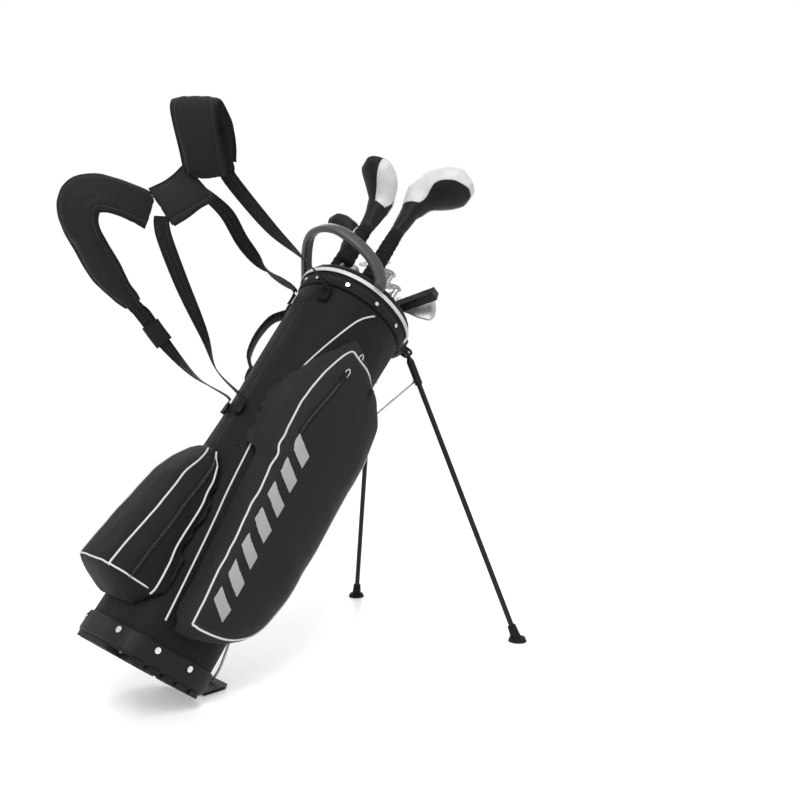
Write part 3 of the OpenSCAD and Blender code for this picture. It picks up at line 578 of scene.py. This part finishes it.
def build_apparel(tube_tree):
    pocket = puffed("apparel_pocket", "apparel_cloth", 0.0065, 0.007, 0.004, relax=8)
    panel = [row(p) for p in PANEL_EDGE]
    creased(pocket, 0.0025, 9, 3.0, (1, 1, 0.6))
    grooved(pocket, [route(panel, 6)], 0.003, 0.006)
    subdivided(pocket)
    dress(pocket, "bag", PANEL)
    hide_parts("apparel_pocket")
    tree = surface_of(pocket)
    piping("apparel_panel_piping", panel, tree, "bag", "trim_white", TRIM)
    piping("apparel_seam_piping", on_tube(APPAREL_SEAM), tube_tree, "bag", "trim_white", TRIM, lift=0.0012)
    inner = [row(Vector(p) + (Vector((8, 0, 350)) - Vector((p[0], 0, p[2]))).normalized() * 7)
             for p in PANEL_EDGE]
    stitches("apparel_stitches", [route(inner, 6)], tree, "bag", "pocket_fabric", THREAD)
    zipper("valuables_zip", [row(p) for p in [(-49, -170, 573), (-58, -172, 524), (-69, -172, 472),
                                              (-78, -172, 428)]], tree, "bag")
    zipper("side_zip", [row(p) for p in [(100, -128, 590), (127, -110, 530), (131, -100, 430),
                                         (131, -100, 320), (128, -102, 215)]], tree, "bag")
    build_bars(tree)
    build_cord_pull("valuables_pull", (-50, -176, 590), tree, "bag")
    build_cord_pull("side_pull", (-30, -160, 640), tree, "bag")


def build_bars(tree):
    """Plain slanted bars, a wordless stand-in for the print on the pocket."""
    parts = []
    for k in range(7):
        z = 130 + 46 * k
        x = mix(-34, -62, k / 7)
        left, right = row((x - 22, -175, z + 14)), row((x + 26, -175, z - 10))
        up = (row((x, -175, z + 20)) - row((x, -175, z))).normalized() * 0.012
        grid, steps = [], 12
        for edge in (-1, 1):
            line = [left.lerp(right, i / steps) + up * edge for i in range(steps + 1)]
            grid.append(line)
        rows = [[grid[0][i].lerp(grid[1][i], j / 4) for i in range(steps + 1)] for j in range(5)]
        verts = []
        for line in rows:
            placed, _ = snap(line, tree, 0.0005)
            verts += placed
        n = steps + 1
        faces = [(j * n + i, j * n + i + 1, (j + 1) * n + i + 1, (j + 1) * n + i)
                 for j in range(4) for i in range(steps)]
        parts.append((verts, faces))
    v, f = merge(parts)
    piece("pocket_bars", v, f, "bag", "trim_white", BAR_GREY)


def build_cord_pull(name, place, tree, body):
    """A looped white cord through a zip puller, with a moulded end."""
    top, n = snap([row(place)], tree, 0.003)
    top, n = top[0], n[0]
    down = (row((place[0], place[1], place[2] - 30)) - row(place)).normalized()
    side = down.cross(n).normalized()
    loop = [top + down * d + side * w for d, w in
            [(0.024, 0.0010), (0.016, 0.0030), (0.006, 0.0036), (0.0, 0.0), (0.006, -0.0036),
             (0.016, -0.0030), (0.024, -0.0010)]]
    v, f = loft(tube_rings(route(loop, 5), 0.0011))
    piece(name + "_cord", v, f, body, "trim_white", CORD)
    line = [top + down * d for d in (0.021, 0.023, 0.030, 0.037, 0.039)]
    rings = [[q + (side * math.cos(a) * 1.5 + n * math.sin(a)) * r
              for a in [2 * math.pi * k / 12 for k in range(12)]]
             for q, r in zip(line, (0.0012, 0.0026, 0.0032, 0.0026, 0.0012))]
    v, f = loft(rings)
    piece(name + "_end", v, f, body, "zip_black", PLASTIC)


def build_ball():
    pocket = puffed("ball_pocket", "ball_cloth", 0.006, 0.006, 0.004, relax=8)
    creased(pocket, 0.0022, 11, 7.0, (1, 1, 0.7))
    bottom = [row(p) for p in [(-110, -84, 102), (-160, -84, 100), (-196, -66, 99), (-206, -30, 99),
                               (-208, 0, 99), (-206, 30, 99), (-196, 66, 99), (-160, 84, 100),
                               (-110, 84, 102)]]
    front = {}
    for side in (-1, 1):
        front[side] = [row((x, side * y, z)) for x, y, z in
                       [(-196, 66, 92), (-196, 68, 140), (-188, 70, 200), (-178, 68, 250), (-168, 62, 300),
                        (-150, 52, 340), (-132, 30, 362)]]
    grooved(pocket, [route(bottom, 5), route(front[-1], 5), route(front[1], 5)], 0.0028, 0.005)
    subdivided(pocket)
    dress(pocket, "bag", CANVAS)
    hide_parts("ball_pocket")
    tree = surface_of(pocket)
    for side, name in ((-1, "near"), (1, "far")):
        piping("ball_front_piping_" + name, front[side], tree, "bag", "trim_white", TRIM)
        gusset = [row((x, side * y, z)) for x, y, z in
                  [(-148, 92, 92), (-146, 92, 150), (-140, 92, 215), (-132, 88, 265), (-124, 78, 318),
                   (-118, 60, 350)]]
        zipper("ball_zip_" + name, gusset, tree, "bag", 0.011)
        back = [row((x, side * y, z)) for x, y, z in
                [(-100, 94, 88), (-102, 94, 150), (-104, 92, 215), (-106, 86, 290), (-110, 70, 345),
                 (-112, 44, 372)]]
        piping("ball_gusset_piping_" + name, back, tree, "bag", "trim_white", TRIM)
    piping("ball_bottom_piping", bottom, tree, "bag", "trim_white", TRIM, radius=0.0015)


# ---- harness ----
ACROSS = Vector((0.557, -0.707, 0.435))
DOWN = Vector((0.794, -0.297, -0.534))
PAD_W, PAD_T, WEB_W, WEB_T = 66, 12, 26, 2
NEAR_ROUTE = [(-409, -34, 708), (-450, -48, 727), (-486, -60, 746), (-509, -64, 766), (-500, -46, 790),
              (-449, -26, 792), (-392, -20, 764)]
CENTRE_ROUTE = [(-412, -24, 702), (-413, -12, 682), (-419, 0, 650), (-425, 10, 628)]
FAR_ROUTE = [(-432, 16, 616), (-474, 26, 601), (-508, 38, 583), (-520, 50, 558), (-497, 58, 530),
             (-453, 62, 512), (-393, 62, 494), (-343, 60, 488)]


def pad_edges(points, width, side, side_b, inset, taper):
    """Row frame lines just inside a pad's two long edges, on its outer face and its inner face."""
    line = route(points, 6)
    n = len(line)
    out = []
    for face in (-1, 1):
        for hand in (-1, 1):
            edge = []
            for i, p in enumerate(line):
                k = i / (n - 1)
                d = tangent(line, i)
                over = d.cross(side.lerp(side_b, k)).normalized()
                wide = over.cross(d).normalized()
                half = width / 2 * np.interp(k, [0, 0.5, 0.85, 1], [1, 1, 0.9, taper]) - inset
                edge.append(row(p + wide * hand * half + over * face * PAD_T / 2))
            out.append(edge)
    return out


def build_pad(node, points, width, side, side_b, taper):
    pad = puffed(node, node + "_cloth", 0.004, 0.006, -0.0004, relax=1)
    edges = pad_edges(points, width, side, side_b, 8, taper)
    middle = pad_edges(points, width, side, side_b, width / 2 - 12, 1)
    grooved(pad, edges, 0.0026, 0.0035)
    grooved(pad, middle, 0.0012, 0.003)
    subdivided(pad)
    dress(pad, "bag", NEOPRENE)
    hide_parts(node)
    tree = surface_of(pad)
    stitches(node + "_stitches", edges, tree, "bag", "pad_neoprene", THREAD)
    binding = pad_edges(points, width, side, side_b, 0.6, taper)
    for k in (0, 1):
        both = [(a + b) / 2 for a, b in zip(binding[k], binding[k + 2])]
        line, _ = snap(spaced(both, 0.005), tree, 0.0004)
        v, f = loft(tube_rings(smooth_line(line, 3), 0.0019))
        piece(f"{node}_binding_{k}", v, f, "bag", "webbing_black", RIBBON)


def strap_end(t, z, off):
    return tube_point(t, z, off)[0]


def off_pad(points, d):
    r = route(points, 3)
    return tuple(r[-1] + (r[-1] - r[-2]).normalized() * d)


ANCHOR_H = 4
STRAPS = {
    "near_top_webbing": ([off_pad(NEAR_ROUTE, -12), off_pad(NEAR_ROUTE, 4), off_pad(NEAR_ROUTE, 24),
                          (-267, -32, 739), (-190, -44, 740)], (-156, 716)),
    "far_top_webbing": ([(-405, -8, 696), (-386, 2, 706), (-330, 10, 716), (-267, 20, 706),
                         (-196, 34, 712)], (156, 716)),
    "near_low_webbing": ([(-416, 7, 618), (-408, 6, 606), (-386, 4, 588), (-319, 4, 552), (-234, 4, 512),
                          (-180, 0, 478)], (-172, 446)),
    "far_low_webbing": ([off_pad(FAR_ROUTE, -12), off_pad(FAR_ROUTE, 4), off_pad(FAR_ROUTE, 24),
                         (-266, 50, 470), (-188, 40, 458)], (166, 446))}


def build_strap(node):
    points, (t, z) = STRAPS[node]
    line = route(points + [strap_end(t, z + 20, ANCHOR_H + 9), strap_end(t, z + 9, ANCHOR_H + 2),
                           strap_end(t, z - 9, ANCHOR_H + 1.6)], 6)
    end = tube_point(t, z)[1].cross(Vector((0, 0, 1)))
    n = len(line)
    wides = [ACROSS.normalized().lerp(end.normalized(), i / (n - 1)) for i in range(n)]
    ring = [(x, y * (1.25 if abs(x) > WEB_W * 0.42 else 1)) for x, y in section(WEB_W, WEB_T * 0.8, 6, 20)]
    rings = [[row(p) for p in r] for r in sweep_rings(line, ring, wides)]
    v, f = loft(rings)
    strap = piece(node + "_weave", v, f, "bag", "webbing_black", RIBBON)
    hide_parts(node)
    tree = surface_of(strap)
    lines = []
    for hand in (-1, 1):
        lines.append([row(p + (wides[i] * hand * WEB_W * 0.38)) for i, p in enumerate(line)])
    stitches(node + "_stitches", lines, tree, "bag", "webbing_black", THREAD, pitch=0.005)


# ---- head covers ----
COVER_PLACES = {"driver": ((-12, -2), -72), "fairway": ((-76, 8), -60), "hybrid": ((-56, 56), -60)}


def split_off(obj, name, keep):
    """Two objects from one: faces where keep(centre) holds stay, and the others go to a new object."""
    verts = [v.co.copy() for v in obj.data.vertices]
    groups = ([], [])
    for f in obj.data.polygons:
        groups[0 if keep(f.center) else 1].append(tuple(f.vertices))
    meshes = []
    for faces in groups:
        used = sorted({i for f in faces for i in f})
        index = {i: k for k, i in enumerate(used)}
        mesh = bpy.data.meshes.new(name)
        mesh.from_pydata([verts[i] for i in used], [], [tuple(index[i] for i in f) for f in faces])
        meshes.append(mesh)
    obj.data = meshes[0]
    other = bpy.data.objects.new(name, meshes[1])
    bpy.context.scene.collection.objects.link(other)
    return other


def build_cover(club):
    (x, y), turn = COVER_PLACES[club]
    toe = Vector((math.cos(math.radians(turn)), math.sin(math.radians(turn)), 0))
    cover = puffed(club + "_cover", club + "_cover_black", 0.0042, 0.004, 0.0015, relax=4)
    creased(cover, 0.0016, 14, 2.0)
    subdivided(cover, 2)
    co = np.array([(TO_BAG @ Vector(p))[:] for p in positions(cover)])
    low, high = co[:, 2].min(), co[:, 2].max()
    lip = mix(low, high, 0.42)
    head = co[co[:, 2] > mix(low, high, 0.55)]
    ahead = (head[:, 0] - x) * toe.x + (head[:, 1] - y) * toe.y
    reach = ahead.max()
    bins = np.linspace(-0.3, 1, 14)
    waist = []
    for k in bins:
        band = head[np.abs(ahead / reach - k) < 0.08][:, 2]
        waist.append(mix(band.min(), band.max(), 0.28) if len(band) else lip)

    def pale(c):
        """The pale upper panel: towards the toe, above a seam that follows the head."""
        q = TO_BAG @ c
        k = ((q.x - x) * toe.x + (q.y - y) * toe.y) / reach
        return k > -0.12 and q.z > np.interp(k, bins, waist)

    other = split_off(cover, club + "_cover_sock", lambda c: (TO_BAG @ c).z > lip)
    panel = split_off(cover, club + "_cover_panel", lambda c: not pale(c))
    co = positions(other)
    out = []
    for p in co:
        q = TO_BAG @ Vector(p)
        away = Vector((q.x - x, q.y - y, 0))
        rib = 0.9 * math.cos(22 * math.atan2(away.y, away.x)) if away.length > 9 else 0
        calm = min(1, (lip - q.z) / 12)
        q += away.normalized() * (rib + 0.5 * math.cos(q.z / 7 * math.pi)) * calm
        out.append(row(q)[:])
    set_positions(other, np.array(out))
    dress(cover, club, COVER_DARK)
    dress(panel, club, LEATHER)
    dress(other, club, KNIT)
    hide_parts(club + "_cover")
    seam_of(panel, club + "_cover_piping", club)
    tree = surface_of(cover)
    ring = [row((x + 60 * math.cos(a), y + 60 * math.sin(a), lip + 4))
            for a in [2 * math.pi * k / 72 for k in range(73)]]
    stitches(club + "_cover_stitches", [ring], tree, club, "webbing_black", THREAD)


def seam_of(obj, name, body):
    """White piping along the open edge of a surface."""
    count = {}
    for f in obj.data.polygons:
        for e in f.edge_keys:
            count[e] = count.get(e, 0) + 1
    linked = {}
    for a, b in [e for e, k in count.items() if k == 1]:
        linked.setdefault(a, []).append(b)
        linked.setdefault(b, []).append(a)
    verts, unused, loops = obj.data.vertices, set(linked), []
    while unused:
        at = unused.pop()
        loop = [at]
        while True:
            ahead = [v for v in linked[at] if v in unused]
            if not ahead:
                break
            at = ahead[0]
            unused.discard(at)
            loop.append(at)
        loops.append(loop)
    loop = max(loops, key=len)
    line = [verts[i].co + verts[i].normal * 0.0004 for i in loop]
    line = smooth_line(spaced(smooth_line(line + line[:1], 12), 0.005), 3)
    v, f = loft(tube_rings(line, 0.0016))
    piece(name, v, f, body, "trim_white", TRIM)


# ---- cast heads ----
def soften(node, body, material, voxel, relax=5):
    obj = remeshed(node, node + "_cast", voxel, relax)
    subdivided(obj)
    dress(obj, body, material)
    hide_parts(node)
    return obj


tube_tree = build_tube()
build_collar()
build_apparel(tube_tree)
build_ball()
build_pad("near_pad", NEAR_ROUTE, PAD_W * 1.15, ACROSS, ACROSS, 0.5)
build_pad("centre_pad", CENTRE_ROUTE, PAD_W * 1.2, ACROSS, ACROSS.lerp(DOWN, 0.6), 1)
build_pad("far_pad", FAR_ROUTE, PAD_W * 1.1, DOWN, ACROSS, 0.45)
for strap_node in STRAPS:
    build_strap(strap_node)
for covered in COVERED:
    build_cover(covered)
for iron in IRONS:
    soften(iron + "_head", iron, IRON, 0.0013, 4)
soften("putter_head", "putter", PUTTER, 0.0014, 2)

# ---- camera, floor and light ----
camera = bpy.data.objects.new("camera", bpy.data.cameras.new("camera"))
bpy.context.scene.collection.objects.link(camera)
camera.data.sensor_width = 36
camera.data.lens = 35.93
camera.location = (-0.7026 - EDGE_X * MM, -1.2160, 0.5255)
camera.rotation_mode = "QUATERNION"
camera.rotation_quaternion = Vector((0.712, 0.702, -0.0194)).to_track_quat("-Z", "Y")
bpy.context.scene.camera = camera

floor_mesh = bpy.data.meshes.new("floor")
FLOOR = 14
floor_mesh.from_pydata([(-FLOOR, -FLOOR, 0), (FLOOR, -FLOOR, 0), (FLOOR, FLOOR, 0), (-FLOOR, FLOOR, 0)], [],
                       [(0, 1, 2, 3)])
floor = bpy.data.objects.new("floor", floor_mesh)
bpy.context.scene.collection.objects.link(floor)


def seen_directly(tree):
    """1 for rays that show a background: from the camera and from reflections."""
    path = tree.nodes.new("ShaderNodeLightPath")
    most = tree.nodes.new("ShaderNodeMath")
    most.operation = "MAXIMUM"
    tree.links.new(path.outputs["Is Camera Ray"], most.inputs[0])
    tree.links.new(path.outputs["Is Glossy Ray"], most.inputs[1])
    return most.outputs["Value"]


def floor_material():
    m = bpy.data.materials.new("floor_white")
    m.use_nodes = True
    tree = m.node_tree
    shader = tree.nodes["Principled BSDF"]
    shader.inputs["Base Color"].default_value = (0.88, 0.88, 0.88, 1)
    shader.inputs["Roughness"].default_value = 0.35
    glow = tree.nodes.new("ShaderNodeEmission")
    glow.inputs["Strength"].default_value = 0.28
    seen = seen_directly(tree)
    both = tree.nodes.new("ShaderNodeAddShader")
    pick = tree.nodes.new("ShaderNodeMixShader")
    tree.links.new(shader.outputs["BSDF"], both.inputs[0])
    tree.links.new(glow.outputs["Emission"], both.inputs[1])
    tree.links.new(seen, pick.inputs["Fac"])
    tree.links.new(shader.outputs["BSDF"], pick.inputs[1])
    tree.links.new(both.outputs["Shader"], pick.inputs[2])
    tree.links.new(pick.outputs["Shader"], tree.nodes["Material Output"].inputs["Surface"])
    return m


floor_mesh.materials.append(floor_material())

world = bpy.data.worlds.new("studio")
bpy.context.scene.world = world
world.use_nodes = True
w_tree = world.node_tree
sky = w_tree.nodes["Background"]
sky.inputs["Color"].default_value = (1, 1, 1, 1)
sky.inputs["Strength"].default_value = 0.55
seen = w_tree.nodes.new("ShaderNodeBackground")
seen.inputs["Color"].default_value = (1, 1, 1, 1)
seen.inputs["Strength"].default_value = 1.0
w_mix = w_tree.nodes.new("ShaderNodeMixShader")
w_tree.links.new(seen_directly(w_tree), w_mix.inputs["Fac"])
w_tree.links.new(sky.outputs["Background"], w_mix.inputs[1])
w_tree.links.new(seen.outputs["Background"], w_mix.inputs[2])
w_tree.links.new(w_mix.outputs["Shader"], w_tree.nodes["World Output"].inputs["Surface"])


def lamp(name, kind, energy, place, aim, size):
    data = bpy.data.lights.new(name, kind)
    data.energy = energy
    if kind == "SUN":
        data.angle = size
    else:
        data.shape = "DISK"
        data.size = size
    obj = bpy.data.objects.new(name, data)
    bpy.context.scene.collection.objects.link(obj)
    obj.location = place
    obj.rotation_mode = "QUATERNION"
    obj.rotation_quaternion = (Vector(aim) - Vector(place)).to_track_quat("-Z", "Y")


lamp("sun", "SUN", 1.5, (-1.5, -2.0, 4.0), (0.2, 0, 0.4), math.radians(25))
lamp("key", "AREA", 26, (-2.2, -1.2, 1.7), (0.1, 0, 0.5), 1.4)
lamp("rim", "AREA", 18, (1.6, 1.6, 2.0), (0.2, 0, 0.6), 1.2)
bpy.context.scene.view_settings.view_transform = "Standard"
